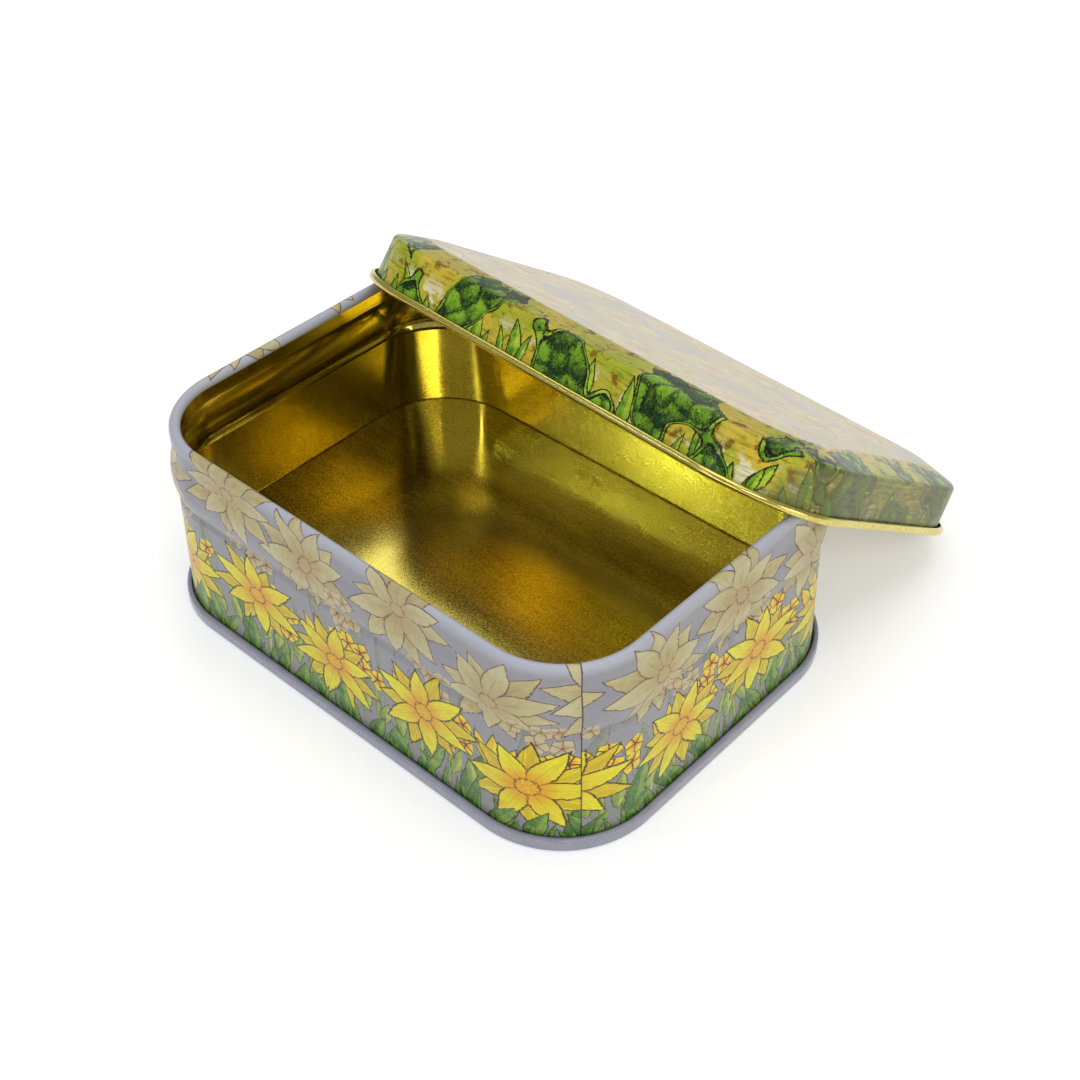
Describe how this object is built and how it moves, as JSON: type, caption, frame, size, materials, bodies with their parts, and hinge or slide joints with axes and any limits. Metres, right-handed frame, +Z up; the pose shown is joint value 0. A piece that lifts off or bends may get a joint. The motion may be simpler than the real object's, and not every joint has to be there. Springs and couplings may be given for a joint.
{
  "type": "slip lid keepsake tin",
  "caption": "Small rounded rectangular keepsake tin with printed flower band and a slip lid lying open over its back.",
  "frame": {"origin": "on the table, under the middle of the tin and its lid as they lie", "axes": "+X along the tin's length, +Y across it from its open front towards the lid that lies behind, +Z up"},
  "size_m": [0.119, 0.1322, 0.0581],
  "materials": {
    "printed_band": "semi-gloss printed tinplate, gold lacquered inside",
    "gold_lacquered_pan": "glossy gold lacquer inside, grey enamel on the seam",
    "printed_lid": "glossy varnished print on tinplate, gold curl"
  },
  "bodies": {
    "tin": {"body_band": "printed_band", "base_pan": "gold_lacquered_pan"},
    "lid": {"lid": "printed_lid"}
  },
  "joints": [
    {"name": "lid_lift", "type": "slide", "parent": "tin", "child": "lid", "axis": [0, 0, 1], "range_m": [0, 0.08]}
  ]
}
